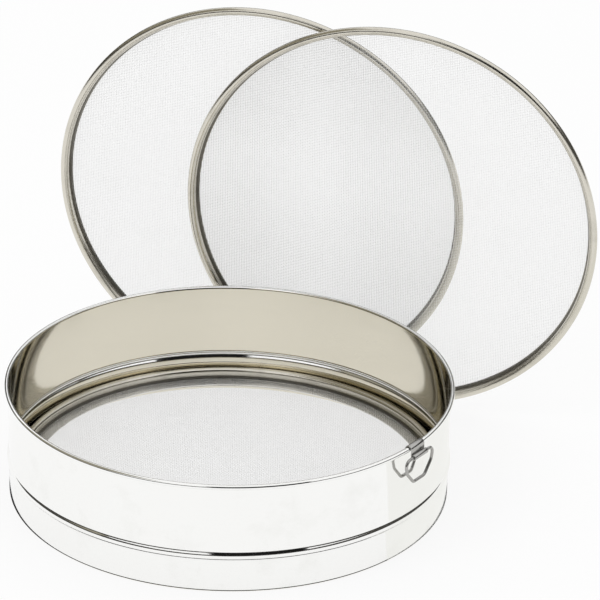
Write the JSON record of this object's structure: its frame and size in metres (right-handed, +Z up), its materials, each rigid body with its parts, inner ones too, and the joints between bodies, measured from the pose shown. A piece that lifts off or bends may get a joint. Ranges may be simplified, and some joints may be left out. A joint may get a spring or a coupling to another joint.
{
  "type": "soil sieve",
  "caption": "Round stainless soil sieve: a beaded drum with a lift-out woven wire screen, a hanging ring, and spare screens leaning on its back.",
  "frame": {"origin": "on the drum's axis, in the plane of the foot curl that it stands on", "axes": "+Z up along the drum's axis; -Y is the front, +X to the right; the spare screens stand behind, on +Y"},
  "size_m": [0.4891, 0.4227, 0.3544],
  "materials": {
    "drum_sheet": "bright polished stainless sheet",
    "core_wire": "drawn wire, dull",
    "weld_metal": "weld, brushed clean",
    "seat_steel": "satin stainless",
    "strap_steel": "satin stainless strip",
    "ring_wire": "bright stainless wire",
    "screen_hoop_steel": "bright polished stainless strip",
    "woven_wire": "bright stainless wire",
    "clamp_steel": "satin stainless",
    "braze_metal": "brazed joint, brushed clean"
  },
  "bodies": {
    "drum": {"drum_wall": "drum_sheet", "rim_core_wire": "core_wire", "foot_core_wire": "core_wire", "wall_seam_weld": "weld_metal", "screen_seat_ring": "seat_steel", "seat_spot_welds": "weld_metal", "hanger_strap": "strap_steel", "hanger_spot_welds": "weld_metal"},
    "hanger": {"hanger_ring": "ring_wire"},
    "fitted_screen": {"fitted_hoop": "screen_hoop_steel", "fitted_hoop_core_wire": "core_wire", "fitted_wire_cloth": "woven_wire", "fitted_clamp_ring": "clamp_steel", "fitted_hoop_braze": "braze_metal"},
    "front_spare_screen": {"front_spare_hoop": "screen_hoop_steel", "front_spare_hoop_core_wire": "core_wire", "front_spare_wire_cloth": "woven_wire", "front_spare_clamp_ring": "clamp_steel", "front_spare_hoop_braze": "braze_metal"},
    "rear_spare_screen": {"rear_spare_hoop": "screen_hoop_steel", "rear_spare_hoop_core_wire": "core_wire", "rear_spare_wire_cloth": "woven_wire", "rear_spare_clamp_ring": "clamp_steel", "rear_spare_hoop_braze": "braze_metal"}
  },
  "joints": [
    {"name": "screen_lift", "type": "slide", "parent": "drum", "child": "fitted_screen", "axis": [0, 0, 1], "range_m": [0, 0.12]},
    {"name": "hanger_swing", "type": "hinge", "parent": "drum", "child": "hanger", "pos_m": [0.15149, -0.11006, 0.0879], "axis": [-0.5878, -0.809, 0], "range_deg": [-11, 190]},
    {"name": "front_spare_lift", "type": "slide", "parent": "drum", "child": "front_spare_screen", "axis": [0.1866, 0.682, 0.7071], "range_m": [0, 0.14]},
    {"name": "rear_spare_lift", "type": "slide", "parent": "front_spare_screen", "child": "rear_spare_screen", "axis": [0.1866, 0.682, 0.7071], "range_m": [0, 0.14]}
  ]
}
